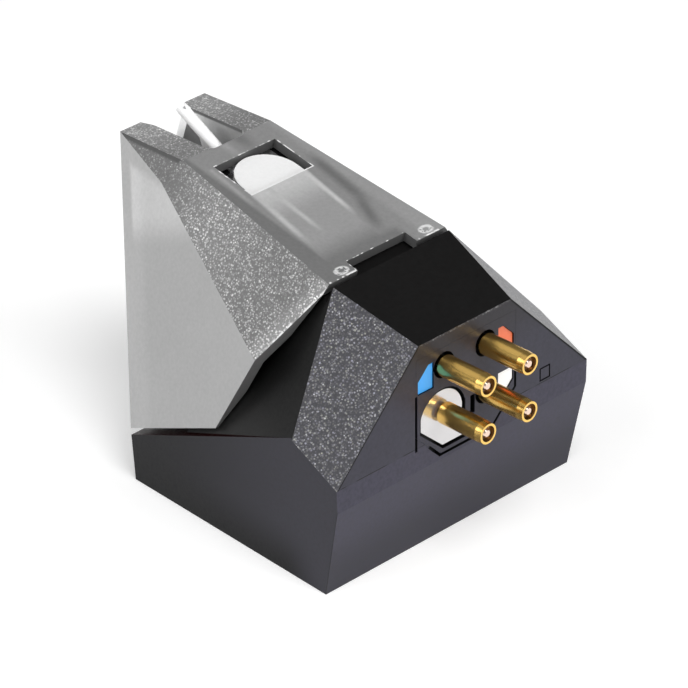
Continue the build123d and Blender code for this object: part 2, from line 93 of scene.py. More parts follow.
# The Mix node has its numbers at sockets 2 and 3, and its colours at 6 and 7
def mixValue(tree, mask, under, over):
    return addNode(tree, "Mix", {0: mask, 2: under, 3: over}).outputs[0]


def mixColour(tree, mask, under, over):
    return addNode(tree, "Mix", {0: mask, 6: under, 7: over}, data_type="RGBA").outputs[2]


def times(tree, colour, value):
    terms = {0: 1.0, 6: colour, 7: value}
    return addNode(tree, "Mix", terms, data_type="RGBA", blend_type="MULTIPLY").outputs[2]


def opaque(colour):
    return (*colour, 1.0)


def dotOf(tree, vector, other):
    return addNode(tree, "VectorMath", {0: vector, 1: other}, operation="DOT_PRODUCT").outputs["Value"]


def pointOf(tree):
    return addNode(tree, "TexCoord").outputs["Object"]


def spotOf(tree):
    # the point in millimetres: across, along and up
    scaled = addNode(tree, "VectorMath", {0: pointOf(tree), "Scale": 1 / mm}, operation="SCALE").outputs[0]
    return addNode(tree, "SeparateXYZ", {0: scaled}).outputs


def noiseAt(tree, point, scale, detail):
    return addNode(tree, "TexNoise", {"Vector": point, "Scale": scale, "Detail": detail}).outputs[0]


def newGroup(name, inputs, outputs):
    tree = bpy.data.node_groups.new(name, "ShaderNodeTree")
    for label, kind, value in inputs:
        socket = tree.interface.new_socket(label, in_out="INPUT", socket_type="NodeSocket" + kind)
        socket.default_value = value
    for label in outputs:
        tree.interface.new_socket(label, in_out="OUTPUT", socket_type="NodeSocketFloat")
    return tree, tree.nodes.new("NodeGroupInput").outputs, tree.nodes.new("NodeGroupOutput").inputs


def place(tree, group, **values):
    made = tree.nodes.new("ShaderNodeGroup")
    made.node_tree = group
    for label, value in values.items():
        feed(tree, made.inputs[label], value)
    return made.outputs


def newMaterial(name):
    material = bpy.data.materials.new(name)
    material.use_nodes = True
    shader = material.node_tree.nodes["Principled BSDF"]
    return material, material.node_tree, shader


def bumpFrom(tree, height, look):
    values = {"Height": height, "Strength": look["bump"], "Distance": look["bumpDistance"]}
    return addNode(tree, "Bump", values).outputs["Normal"]


def dress(material, *starts):
    # on every node whose name starts with one of these
    for name, node in frame["nodes"].items():
        if name.startswith(starts):
            for slot in node.material_slots:
                slot.material = material


# Facet masks and depths; turns are cosines to the facet's normal
facetLook = {"offTurn": 0.986, "onTurn": 0.993, "sameTurn": 0.9985}


def foldedAcross(tree, vector):
    # the left half laid on the right one, so that one facet stands for both
    parts = addNode(tree, "SeparateXYZ", {0: vector}).outputs
    side = calc(tree, "ABSOLUTE", parts[0])
    return addNode(tree, "CombineXYZ", {0: side, 1: parts[1], 2: parts[2]}).outputs[0]


def makeFacetMask():
    # 1 on the faces that look this way
    tree, given, result = newGroup("facetMask", [("facing", "Vector", (0, 0, 1))], ["mask"])
    normal = foldedAcross(tree, addNode(tree, "TexCoord").outputs["Normal"])
    turn = dotOf(tree, normal, given["facing"])
    feed(tree, result["mask"], fade(tree, turn, facetLook["offTurn"], facetLook["onTurn"]))
    return tree


def makeFacetDepth():
    # millimetres behind the plane of a facet
    inputs = [("facing", "Vector", (0, 0, 1)), ("reach", "Float", 0.0)]
    tree, given, result = newGroup("facetDepth", inputs, ["depth"])
    along = dotOf(tree, foldedAcross(tree, pointOf(tree)), given["facing"])
    behind = calc(tree, "SUBTRACT", given["reach"], along)
    feed(tree, result["depth"], calc(tree, "DIVIDE", behind, mm))
    return tree


# Moulding grain and drawn lines: noise about its middle, turned into a tone about 1
grainLook = {"middle": 0.5, "swing": 2.0, "fineDetail": 3.0, "cloudScale": 240.0, "cloudDetail": 2.0}


def shiftOf(tree, noise, strength):
    return calc(tree, "MULTIPLY", calc(tree, "SUBTRACT", noise, grainLook["middle"]), strength)


def aboutOne(tree, shift):
    return calc(tree, "ADD", calc(tree, "MULTIPLY", shift, grainLook["swing"]), 1.0)


def makeMouldGrain():
    # fine grain of a moulded face, with a broad cloudiness under it
    look = grainLook
    inputs = [("scale", "Float", 5000.0), ("strength", "Float", 0.2), ("cloud", "Float", 0.1)]
    tree, given, result = newGroup("mouldGrain", inputs, ["tone", "height"])
    point = pointOf(tree)
    fine = noiseAt(tree, point, given["scale"], look["fineDetail"])
    broad = noiseAt(tree, point, look["cloudScale"], look["cloudDetail"])
    shift = calc(tree, "ADD", shiftOf(tree, fine, given["strength"]), shiftOf(tree, broad, given["cloud"]))
    feed(tree, result["tone"], aboutOne(tree, shift))
    feed(tree, result["height"], fine)
    return tree


def makeDrawnGrain():
    # fine lines left by drawing or turning; stretch is large across the lines and small along them
    inputs = [("stretch", "Vector", (1, 1, 1)), ("strength", "Float", 0.2)]
    tree, given, result = newGroup("drawnGrain", inputs, ["tone", "height"])
    values = {0: pointOf(tree), 1: given["stretch"]}
    drawn = addNode(tree, "VectorMath", values, operation="MULTIPLY").outputs[0]
    lines = noiseAt(tree, drawn, 1.0, grainLook["fineDetail"])
    feed(tree, result["tone"], aboutOne(tree, shiftOf(tree, lines, given["strength"])))
    feed(tree, result["height"], lines)
    return tree


# Sparkle: distances are shares of a grain, from its edge to its core
sparkleLook = {
    "grainEdge": 0.8,
    "grainCore": 0.15,
    "flakeEdge": 0.5,
    "flakeCore": 0.1,
    "flakeFade": 0.03,
    "cloudScale": 1800.0,
    "cloudDetail": 2.0,
    "cloudLow": 0.25,
    "cloudHigh": 0.75,
    "cloudLeast": 0.6,
    "cloudMost": 1.4,
}


def makeSparkle():
    # metal grains in the plastic, with painted glitter: every grain gets a little painted glitter, and a few
    # lie flat and get a painted glint
    look = sparkleLook
    inputs = [("scale", "Float", 8000.0), ("flakeShare", "Float", 0.1)]
    tree, given, result = newGroup("sparkle", inputs, ["glitter", "flash", "hue"])
    point = pointOf(tree)
    cells = addNode(tree, "TexVoronoi", {"Vector": point, "Scale": given["scale"]}).outputs
    chance = addNode(tree, "SeparateXYZ", {0: cells["Color"]}).outputs
    grain = fade(tree, cells["Distance"], look["grainEdge"], look["grainCore"])
    cloud = noiseAt(tree, point, look["cloudScale"], look["cloudDetail"])
    cloud = fade(tree, cloud, look["cloudLow"], look["cloudHigh"], look["cloudLeast"], look["cloudMost"])
    turned = overlap(tree, calc(tree, "POWER", chance[0], 2.0), cloud)
    feed(tree, result["glitter"], overlap(tree, grain, turned))
    rare = calc(tree, "SUBTRACT", 1.0, given["flakeShare"])
    flat = fade(tree, chance[2], rare, calc(tree, "ADD", rare, look["flakeFade"]))
    flake = fade(tree, cells["Distance"], look["flakeEdge"], look["flakeCore"])
    feed(tree, result["flash"], overlap(tree, flake, flat))
    feed(tree, result["hue"], chance[1])
    return tree


# Breaks: the noise at which a line shows, with no cover, and how far full cover lowers it
breaksLook = {"bareLevel": 0.75, "coverSpan": 0.5, "fade": 0.12, "detail": 1.0}


def makeBreaks():
    # leaves gaps in a line, as light does along a rough edge
    look = breaksLook
    inputs = [("scale", "Float", 2500.0), ("cover", "Float", 0.5)]
    tree, given, result = newGroup("breaks", inputs, ["mask"])
    noise = noiseAt(tree, pointOf(tree), given["scale"], look["detail"])
    least = calc(tree, "MULTIPLY", given["cover"], look["coverSpan"])
    least = calc(tree, "SUBTRACT", look["bareLevel"], least)
    feed(tree, result["mask"], fade(tree, noise, least, calc(tree, "ADD", least, look["fade"])))
    return tree


facetMask = makeFacetMask()
facetDepth = makeFacetDepth()
mouldGrain = makeMouldGrain()
drawnGrain = makeDrawnGrain()
sparkle = makeSparkle()
breaks = makeBreaks()
print("shared effects ready")


# The flat facets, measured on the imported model
def facetOf(nodeName, facing):
    # the outermost flat of a node that looks about this way
    facing = Vector(facing).normalized()
    polygons = frame["nodes"][nodeName].data.polygons
    flats = [p for p in polygons if p.normal.dot(facing) > facetLook["sameTurn"]]
    outer = max(flats, key=lambda p: p.center.dot(p.normal))
    return {"facing": outer.normal.copy(), "reach": outer.center.dot(outer.normal)}


def onFacet(tree, facet):
    return place(tree, facetMask, facing=facet["facing"])["mask"]


def depthOf(tree, facet):
    return place(tree, facetDepth, facing=facet["facing"], reach=facet["reach"])["depth"]


guardFacets = {
    "cheek": facetOf("stylus_guard", (0.94, 0.16, 0.29)),
    "slope": facetOf("stylus_guard", (0.80, -0.05, 0.60)),
    "bevel": facetOf("stylus_guard", (0.78, 0.03, 0.63)),
    "roof": facetOf("stylus_guard", (0, -0.19, 0.98)),
    "prong": facetOf("stylus_guard", (0, 0.02, 1)),
    "front": facetOf("stylus_guard", (0, 0.92, -0.39)),
    "frontInside": facetOf("stylus_guard", (0, -0.92, 0.39)),
    "vee": facetOf("stylus_guard", (0.77, 0.25, 0.58)),
    "rim": facetOf("stylus_guard", (0, -0.98, -0.19)),
    "rearCut": facetOf("stylus_guard", (0.25, -0.91, -0.34)),
    "slotSide": facetOf("stylus_guard", (1, 0, 0)),
}
shellFacets = {
    "crown": facetOf("body_shell", (0, -0.31, 0.95)),
    "shoulder": facetOf("body_shell", (0.68, -0.32, 0.66)),
    "flank": facetOf("body_shell", (0.78, 0.33, 0.53)),
    "rear": facetOf("body_shell", (0, -1, 0)),
}
baseFacets = {
    "side": facetOf("mounting_base", (1, 0.06, -0.02)),
    "rear": facetOf("mounting_base", (0, -0.98, -0.2)),
    "rearTop": facetOf("mounting_base", (0, -1, 0)),
    "seat": facetOf("mounting_base", (0, 0.4, 0.92)),
}
print("facets measured")


# Dark satin plastic, shared by the base, the shell and the terminal plate; lengths in mm from here on
satinLook = {
    "grainScale": 5200.0,
    "grainStrength": 0.40,
    "cloud": 0.08,
    "roughness": 0.42,
    "specular": 0.16,
    "bump": 0.10,
    "bumpDistance": 0.01 * mm,
    # near black, for painted shade in recesses and along edges, and for the seam's dark joint
    "shadeAndSeamTone": (0.003, 0.003, 0.0035),
    "recessStart": 0.021,
    "recessDepth": 0.07,
}


def grainOf(tree, look):
    values = {"scale": look["grainScale"], "strength": look["grainStrength"], "cloud": look["cloud"]}
    return place(tree, mouldGrain, **values)


def sunkBehind(tree, facet):
    # 1 on the floors of the grooves and recesses cut into a facet
    return fade(tree, depthOf(tree, facet), satinLook["recessStart"], satinLook["recessDepth"])


def finishSatin(tree, shader, colour):
    # what all the dark plastics have in common
    grain = grainOf(tree, satinLook)
    feed(tree, shader.inputs["Base Color"], times(tree, colour, grain["tone"]))
    feed(tree, shader.inputs["Roughness"], calc(tree, "MULTIPLY", grain["tone"], satinLook["roughness"]))
    feed(tree, shader.inputs["Normal"], bumpFrom(tree, grain["height"], satinLook))
    shader.inputs["Specular IOR Level"].default_value = satinLook["specular"]


# Mounting base: painted shade and reflection make its sides darker towards the front and low down, painted
# shade darkens its rear near the bottom, and the seat under the guard is painted near black as shade with a
# red tint of the guard's light
baseLook = {
    "plainTone": (0.016, 0.016, 0.018),
    "sideFrontShadeTone": (0.0045, 0.0043, 0.0058),
    "sideRearTone": (0.031, 0.030, 0.040),
    "sideFrontReach": 4.0,
    "sideRearReach": -10.0,
    "sideLowShadeTone": (0.0028, 0.0027, 0.0036),
    "sideLowLevel": 3.2,
    "sideLowReach": -7.0,
    "rearTone": (0.049, 0.047, 0.067),
    "rearLowShadeTone": (0.031, 0.030, 0.041),
    "rearLowLevel": 1.0,
    "rearHighLevel": 4.5,
    "seatShadeTone": (0.010, 0.0006, 0.0006),
    "cornerWidth": 0.07,
    "grooveLow": 5.40,
    "grooveHigh": 5.45,
    "grooveReach": 4.0,
    "grooveEnd": 4.1,
}


def makeBasePlastic():
    look = baseLook
    material, tree, shader = newMaterial("basePlastic")
    spot = spotOf(tree)
    onSide = onFacet(tree, baseFacets["side"])
    onSeat = onFacet(tree, baseFacets["seat"])
    onRear = either(tree, onFacet(tree, baseFacets["rear"]), onFacet(tree, baseFacets["rearTop"]))
    # painted shade and reflection: each side runs from dark at the front to lighter at the rear, with painted
    # shade low down towards the rear
    rearward = fade(tree, spot[1], look["sideFrontReach"], look["sideRearReach"])
    side = mixColour(tree, rearward, opaque(look["sideFrontShadeTone"]), opaque(look["sideRearTone"]))
    low = fade(tree, spot[2], look["sideLowLevel"], 0.0)
    low = overlap(tree, low, fade(tree, spot[1], look["sideRearReach"], look["sideLowReach"]))
    side = mixColour(tree, low, side, opaque(look["sideLowShadeTone"]))
    # painted shade: the rear face is darker near the bottom
    raised = fade(tree, spot[2], look["rearLowLevel"], look["rearHighLevel"])
    rear = mixColour(tree, raised, opaque(look["rearLowShadeTone"]), opaque(look["rearTone"]))
    # painted shade on the seat under the guard: near black, with a red tint of the guard's light
    colour = mixColour(tree, onSeat, opaque(look["plainTone"]), opaque(look["seatShadeTone"]))
    colour = mixColour(tree, onSide, colour, side)
    colour = mixColour(tree, onRear, colour, rear)
    # painted shade in a thin dark line down the rear corners
    corner = fade(tree, depthOf(tree, baseFacets["rear"]), look["cornerWidth"], 0.0)
    colour = mixColour(tree, overlap(tree, onSide, corner), colour, opaque(satinLook["shadeAndSeamTone"]))
    # painted shade, black, in the grooves round the terminal plate
    sunk = sunkBehind(tree, baseFacets["rearTop"])
    high = fade(tree, spot[2], look["grooveLow"], look["grooveHigh"])
    beside = fade(tree, calc(tree, "ABSOLUTE", spot[0]), look["grooveEnd"], look["grooveReach"])
    colour = mixColour(tree, overlap(tree, sunk, high, beside), colour, opaque(satinLook["shadeAndSeamTone"]))
    finishSatin(tree, shader, colour)
    return material


# Rear panel of the shell and the terminal plate: blue grey, warmer under the crown, with painted shade near
# black in its recesses
panelLook = {
    "tone": (0.0315, 0.0305, 0.0445),
    "warmTone": (0.0235, 0.022, 0.0265),
    "warmLow": 9.5,
    "warmHigh": 12.4,
    "coat": 0.18,
    "coatRoughness": 0.3,
}


def panelColour(tree, spot):
    look = panelLook
    raised = fade(tree, spot[2], look["warmLow"], look["warmHigh"])
    colour = mixColour(tree, raised, opaque(look["tone"]), opaque(look["warmTone"]))
    # painted shade, near black, on the floors of the recesses
    sunk = sunkBehind(tree, shellFacets["rear"])
    return mixColour(tree, sunk, colour, opaque(satinLook["shadeAndSeamTone"])), sunk


def makePlatePlastic():
    material, tree, shader = newMaterial("platePlastic")
    colour, sunk = panelColour(tree, spotOf(tree))
    finishSatin(tree, shader, colour)
    feed(tree, shader.inputs["Coat Weight"], fade(tree, sunk, 1.0, 0.0, 0.0, panelLook["coat"]))
    shader.inputs["Coat Roughness"].default_value = panelLook["coatRoughness"]
    return material


# Body shell: plain crown, flanks with painted shade under the guard, sparkling shoulders with painted glints,
# and a nose painted pale as painted light where it shows in the guard's window
shellLook = {
    "plainTone": (0.010, 0.010, 0.011),
    "noseLightTone": (0.34, 0.34, 0.34),
    "noseRear": 1.0,
    "noseFront": 1.5,
    "noseHalfWidth": 2.8,
    "noseSideFade": 0.05,
    "crownTone": (0.0065, 0.0062, 0.0062),
    "flankShadeTone": (0.0028, 0.0028, 0.0028),
    "flankLowTone": (0.014, 0.0138, 0.0138),
    "flankLowLevel": 6.2,
    "flankHighLevel": 9.0,
    "shoulderTone": (0.034, 0.0335, 0.041),
    "glitterCool": (0.29, 0.29, 0.36),
    "glitterWarm": (0.31, 0.31, 0.27),
    "paintedGlintTone": (0.66, 0.66, 0.70),
    "sparkleScale": 9600.0,
    "flakeShare": 0.03,
    "shoulderCoat": 0.33,
    "edgeWidth": 0.14,
    "edgeTone": (0.24, 0.24, 0.245),
    "lineWidth": 0.12,
    "seamWidth": 0.08,
    "seamReach": 0.01,
    "seamBreakScale": 700.0,
    "seamCover": 0.72,
}


def seamLevel():
    # the shell meets the base on the rear face, at the base's upper rear edge
    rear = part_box("mounting_base")[0].y + shellLook["seamReach"] * mm
    vertices = frame["nodes"]["mounting_base"].data.vertices
    return max(v.co.z for v in vertices if v.co.y < rear) / mm


def shoulderColour(tree):
    look = shellLook
    # painted glitter and glints of the metal grains on the shoulders
    grains = place(tree, sparkle, scale=look["sparkleScale"], flakeShare=look["flakeShare"])
    glitter = mixColour(tree, grains["hue"], opaque(look["glitterCool"]), opaque(look["glitterWarm"]))
    colour = mixColour(tree, grains["glitter"], opaque(look["shoulderTone"]), glitter)
    return mixColour(tree, grains["flash"], colour, opaque(look["paintedGlintTone"])), grains


def makeShellPlastic():
    look = shellLook
    material, tree, shader = newMaterial("shellPlastic")
    spot = spotOf(tree)
    onCrown = onFacet(tree, shellFacets["crown"])
    onShoulder = onFacet(tree, shellFacets["shoulder"])
    onRear = onFacet(tree, shellFacets["rear"])
    # painted shade: the flank is darkest high up under the guard and lighter towards the base
    low = fade(tree, spot[2], look["flankHighLevel"], look["flankLowLevel"])
    flank = mixColour(tree, low, opaque(look["flankShadeTone"]), opaque(look["flankLowTone"]))
    panel, sunk = panelColour(tree, spot)
    shoulder, grains = shoulderColour(tree)
    # painted light: the nose is pale where it shows in the guard's window
    noseSide = look["noseHalfWidth"] + look["noseSideFade"]
    onNose = fade(tree, calc(tree, "ABSOLUTE", spot[0]), noseSide, look["noseHalfWidth"])
    onNose = overlap(tree, onNose, fade(tree, spot[1], look["noseRear"], look["noseFront"]))
    colour = mixColour(tree, onNose, opaque(look["plainTone"]), opaque(look["noseLightTone"]))
    colour = mixColour(tree, onCrown, colour, opaque(look["crownTone"]))
    colour = mixColour(tree, onFacet(tree, shellFacets["flank"]), colour, flank)
    colour = mixColour(tree, onRear, colour, panel)
    # on the rear panel: a speckled painted highlight along the crown's edge, and a line of painted shade
    # along the shoulders
    edge = lineOf(tree, depthOf(tree, shellFacets["crown"]), look["edgeWidth"])
    colour = mixColour(tree, overlap(tree, edge, onRear, grains["glitter"]), colour, opaque(look["edgeTone"]))
    line = overlap(tree, lineOf(tree, depthOf(tree, shellFacets["shoulder"]), look["lineWidth"]), onRear)
    colour = mixColour(tree, line, colour, opaque(satinLook["shadeAndSeamTone"]))
    # a broken seam where it meets the base
    gaps = place(tree, breaks, scale=look["seamBreakScale"], cover=look["seamCover"])["mask"]
    seam = lineOf(tree, apart(tree, spot[2], seamLevel()), look["seamWidth"])
    colour = mixColour(tree, overlap(tree, seam, onRear, gaps), colour, opaque(satinLook["shadeAndSeamTone"]))
    colour = mixColour(tree, onShoulder, colour, shoulder)
    finishSatin(tree, shader, colour)
    dull = either(tree, sunk, line)
    flat = overlap(tree, onRear, fade(tree, dull, 1.0, 0.0), panelLook["coat"])
    feed(tree, shader.inputs["Coat Weight"], mixValue(tree, onShoulder, flat, look["shoulderCoat"]))
    shader.inputs["Coat Roughness"].default_value = panelLook["coatRoughness"]
    return material


# Stylus guard: opaque grey plastic, satin on the cheeks, sparkling on the slopes, paler over the holder; the
# tones of its facets are painted light and shade
guardLook = {
    "grainScale": 5200.0,
    "grainStrength": 0.12,
    "cloud": 0.06,
    "bump": 0.1,
    "bumpDistance": 0.01 * mm,
    "roughness": 0.42,
    "roofRoughness": 0.22,
    "specular": 0.35,
    "innerLightTone": 0.50,
    "frontInsideShadeTone": 0.16,
    "rimTone": 0.085,
    "cutTone": 0.15,
    "slotTone": 0.40,
    "slotFrontLightTone": 0.92,
    "slotRear": 6.8,
    "slotFront": 9.6,
    "slotEdgeTone": 0.17,
    "windowSideShadeTone": 0.11,
    "windowSideReach": 5.4,
    "windowSideFade": 0.2,
    "veeLightTone": 0.92,
    "prongTone": 0.225,
    "prongTipTone": 0.33,
    "prongSpeckle": 1.7,
    "bevelTone": 0.19,
    "bevelLead": 0.02,
    "edgeTone": 0.09,
    "edgeWidth": 0.24,
    "sparkleScale": 10000.0,
    "glitterMean": 0.15,
    "flakeShare": 0.04,
    "paintedGlintTone": 0.92,
    "flashStart": 0.2,
    "flashFull": 2.0,
    "edgeHighlightTone": 0.80,
    "rimLineWidth": 0.17,
    "rimLineCore": 0.05,
    "cutLineCore": 0.04,
    "breakScale": 2600.0,
    "roofCover": 0.5,
    "cutCover": 0.65,
}
cheekLook = {
    "tone": 0.385,
    "highlightTone": 0.54,
    "lean": 0.43,
    "lowLevel": 14.8,
    "highLevel": 16.8,
    "bandTone": 0.43,
    "bandFade": 0.3,
    "wall": 0.95,
    "stripeEnd": 2.4,
    "stripeLift": 1.1,
    "tipShadeLow": 15.1,
    "tipShadeHigh": 15.7,
}
slopeLook = {
    "topTone": 0.175,
    "middleTone": 0.285,
    "lowTone": 0.215,
    "topReach": 7.0,
    "middleReach": 2.5,
    "lowReach": -2.5,
    "cutLightTone": 0.35,
    "cutLightWidth": 1.3,
    "cutLightCore": 0.2,
    "topSpeckle": 1.2,
    "speckle": 2.0,
}


def cheekTone(tree, spot):
    look = cheekLook
    # painted highlight: the cheek is lighter towards its top
    level = calc(tree, "MULTIPLY_ADD", spot[1], look["lean"], spot[2])
    tone = fade(tree, level, look["lowLevel"], look["highLevel"], look["tone"], look["highlightTone"])
    # a band drawn as if the front wall showed through, with a lighter line at its inner side
    behindFront = depthOf(tree, guardFacets["front"])
    stripe = fade(tree, behindFront, look["stripeEnd"], look["wall"])
    tone = calc(tree, "MULTIPLY", tone, fade(tree, stripe, 0.0, 1.0, 1.0, look["stripeLift"]))
    band = fade(tree, behindFront, look["wall"], look["wall"] - look["bandFade"])
    # painted shade near the tip, in the band's tone
    band = either(tree, band, fade(tree, spot[2], look["tipShadeLow"], look["tipShadeHigh"]))
    return mixValue(tree, band, tone, look["bandTone"])


def speckled(tree, tone, grains, amount):
    # the tone rises with the painted glitter about its mean, and takes a painted glint where a flake lies
    # flat
    look = guardLook
    rise = calc(tree, "SUBTRACT", grains["glitter"], look["glitterMean"])
    tone = calc(tree, "MULTIPLY", tone, calc(tree, "MULTIPLY_ADD", rise, amount, 1.0))
    flash = overlap(tree, grains["flash"], fade(tree, amount, look["flashStart"], look["flashFull"]))
    return mixValue(tree, flash, tone, look["paintedGlintTone"])


def slopeTone(tree, spot, grains):
    look = slopeLook
    fromCut = depthOf(tree, guardFacets["rearCut"])
    # painted light and shade along the slope: darkest at the top, lightest in the middle
    tone = fade(tree, spot[1], look["topReach"], look["middleReach"], look["topTone"], look["middleTone"])
    tone = mixValue(tree, fade(tree, spot[1], look["middleReach"], look["lowReach"]), tone, look["lowTone"])
    # painted light: a broad pale band along the rear cut
    tone = mixValue(tree, fade(tree, fromCut, look["cutLightWidth"], look["cutLightCore"]), tone, look["cutLightTone"])
    amount = fade(tree, spot[1], look["topReach"], look["middleReach"], look["topSpeckle"], look["speckle"])
    tone = speckled(tree, tone, grains, amount)
    # a painted highlight along the rough rear cut
    gaps = place(tree, breaks, scale=guardLook["breakScale"], cover=guardLook["cutCover"])["mask"]
    cutLine = fade(tree, fromCut, guardLook["rimLineWidth"], guardLook["cutLineCore"])
    return mixValue(tree, overlap(tree, cutLine, gaps), tone, guardLook["edgeHighlightTone"])


# The guard's roof: places are mm across, and mm forward of the tabs' rear rim
roofLook = {
    "tone": 0.235,
    "leftTone": 0.16,
    "leftStart": -2.75,
    "leftEnd": -3.05,
    "edgeTone": 0.28,
    "edgeStart": 2.6,
    "edgeEnd": 3.3,
    "plateTone": 0.285,
    "plateRearTone": 0.165,
    "plateRearStart": 1.0,
    "plateRearEnd": 3.2,
    "plateFrontLift": 0.20,
    "plateLiftStart": 5.0,
    "plateCentre": -0.45,
    "plateCentreAlong": 6.0,
    "plateHalfWidth": 1.9,
    "plateSideFade": 0.15,
    "plateLean": 0.13,
    "plateFront": 7.81,
    "plateFrontFade": 0.1,
    "bandTone": 0.165,
    "bandStart": 1.2,
    "bandEnd": 1.9,
    "bandSide": 1.8,
    "bandSideEnd": 2.4,
    "streakTail": 0.4,
    "streakRise": 1.4,
    "streakTip": 0.1,
}
# streaks of painted light and shade on the roof, where the holder's edges show through
paintedRoofStreaks = [
    {"front": (2.80, 9.0), "rear": (2.35, 3.8), "width": 0.60, "tone": 0.145, "start": 1.6},
    {"front": (2.45, 5.0), "rear": (1.25, 1.6), "width": 0.60, "tone": 0.145, "start": 1.4},
    {"front": (0.70, 11.9), "rear": (0.70, 10.4), "width": 0.75, "tone": 0.165, "start": 0.2},
    {"front": (-0.40, 11.9), "rear": (-0.40, 10.4), "width": 0.45, "tone": 0.30, "start": 0.2},
    {"front": (-2.50, 10.6), "rear": (-2.75, 7.0), "width": 0.24, "tone": 0.30, "start": 0.2},
    {"front": (-2.10, 7.8), "rear": (-2.62, 3.2), "width": 0.32, "tone": 0.45, "start": 0.2},
    {"front": (-1.12, 7.8), "rear": (-1.33, 3.4), "width": 0.28, "tone": 0.43, "start": 0.2},
    {"front": (1.50, 7.8), "rear": (1.15, 3.6), "width": 0.28, "tone": 0.50, "start": 0.2},
]
markLook = {
    "windowFront": 10.67,
    "windowHalfWidth": 2.19,
    "windowLineWidth": 0.10,
    "windowLineCore": 0.04,
    "rearEdgeEnd": 0.3,
    "rearEdgeFull": 0.2,
    "notchFront": 0.88,
    "notchHalfWidth": 2.15,
    "notchLineWidth": 0.07,
    "notchLineCore": 0.03,
    "spotTone": 0.66,
    "spotAcross": 3.07,
    "spotShift": 0.2,
    "spotAlong": 0.47,
    "spotHalfWidth": 0.45,
    "spotHalfLength": 0.3,
    "ringPlace": 0.75,
    "ringWidth": 0.5,
    "ringCore": 0.1,
    "roughScale": 6000.0,
    "roughCover": 0.75,
}


def streakMask(tree, across, along, streak):
    # a soft line from its front end to its rear end
    look = roofLook
    frontAcross, frontAlong = streak["front"]
    rearAcross, rearAlong = streak["rear"]
    lean = (rearAcross - frontAcross) / (rearAlong - frontAlong)
    middle = calc(tree, "MULTIPLY_ADD", along, lean, frontAcross - lean * frontAlong)
    body = fade(tree, apart(tree, across, middle), streak["width"], 0.0)
    tail = fade(tree, along, rearAlong - look["streakTail"], rearAlong + look["streakRise"])
    tip = frontAlong + look["streakTip"]
    return overlap(tree, body, tail, fade(tree, along, tip, tip - streak["start"]))


def roofTone(tree, across, along):
    look = roofLook
    tone = fade(tree, across, look["edgeStart"], look["edgeEnd"], look["tone"], look["edgeTone"])
    tone = mixValue(tree, fade(tree, across, look["leftStart"], look["leftEnd"]), tone, look["leftTone"])
    # a plate drawn as if the holder showed through, with painted light making it brightest at the window
    rearTone = [look["plateRearStart"], look["plateRearEnd"], look["plateRearTone"], look["plateTone"]]
    lift = [look["plateLiftStart"], look["plateFront"], 0.0, look["plateFrontLift"]]
    plate = calc(tree, "ADD", fade(tree, along, *rearTone), fade(tree, along, *lift))
    centreStart = look["plateCentre"] - look["plateCentreAlong"] * look["plateLean"]
    centre = calc(tree, "MULTIPLY_ADD", along, look["plateLean"], centreStart)
    sides = [look["plateHalfWidth"] + look["plateSideFade"], look["plateHalfWidth"] - look["plateSideFade"]]
    onPlate = fade(tree, apart(tree, across, centre), *sides)
    plateEnd = look["plateFront"] + look["plateFrontFade"]
    onPlate = overlap(tree, onPlate, fade(tree, along, plateEnd, look["plateFront"]))
    tone = mixValue(tree, onPlate, tone, plate)
    # painted shade in a dark band in front of the notch, then the streaks of painted light and shade where
    # the holder's edges show through
    band = fade(tree, along, look["bandEnd"], look["bandStart"])
    band = overlap(tree, band, fade(tree, across, look["bandSideEnd"], look["bandSide"]))
    tone = mixValue(tree, band, tone, look["bandTone"])
    for streak in paintedRoofStreaks:
        tone = mixValue(tree, streakMask(tree, across, along, streak), tone, streak["tone"])
    return tone


def frostedSpots(tree, across, along):
    # a rough ring on each tab
    look = markLook
    off = calc(tree, "SUBTRACT", apart(tree, across, look["spotShift"]), look["spotAcross"])
    off = calc(tree, "DIVIDE", off, look["spotHalfWidth"])
    ahead = calc(tree, "DIVIDE", calc(tree, "SUBTRACT", along, look["spotAlong"]), look["spotHalfLength"])
    fromRing = apart(tree, lengthOf(tree, off, ahead), look["ringPlace"])
    rough = place(tree, breaks, scale=look["roughScale"], cover=look["roughCover"])["mask"]
    return overlap(tree, fade(tree, fromRing, look["ringWidth"], look["ringCore"]), rough)


def roofMarks(tree, across, along, tone):
    # painted highlights along the rough edges of window, notch and tabs, and the frosted spots on the tabs
    look = markLook
    side = calc(tree, "ABSOLUTE", across)
    gaps = place(tree, breaks, scale=guardLook["breakScale"], cover=guardLook["roofCover"])["mask"]
    windowRear = roofLook["plateFront"]
    windowMiddle = (windowRear + look["windowFront"]) / 2
    windowHalf = (look["windowFront"] - windowRear) / 2
    outAlong = calc(tree, "SUBTRACT", apart(tree, along, windowMiddle), windowHalf)
    outSide = calc(tree, "SUBTRACT", side, look["windowHalfWidth"])
    out = calc(tree, "MAXIMUM", outSide, outAlong)
    windowLine = fade(tree, out, look["windowLineWidth"], look["windowLineCore"])
    # the window's rear edge is unbroken
    rearEdge = fade(tree, along, windowRear + look["rearEdgeEnd"], windowRear + look["rearEdgeFull"])
    windowLine = overlap(tree, windowLine, either(tree, gaps, rearEdge))
    notchSide = calc(tree, "SUBTRACT", side, look["notchHalfWidth"])
    notchAhead = calc(tree, "SUBTRACT", along, look["notchFront"])
    notchOut = calc(tree, "MAXIMUM", notchSide, notchAhead)
    notchLine = overlap(tree, fade(tree, notchOut, look["notchLineWidth"], look["notchLineCore"]), gaps)
    rimLine = overlap(tree, fade(tree, along, guardLook["rimLineWidth"], guardLook["rimLineCore"]), gaps)
    tone = mixValue(tree, frostedSpots(tree, across, along), tone, look["spotTone"])
    return mixValue(tree, either(tree, windowLine, notchLine, rimLine), tone, guardLook["edgeHighlightTone"])


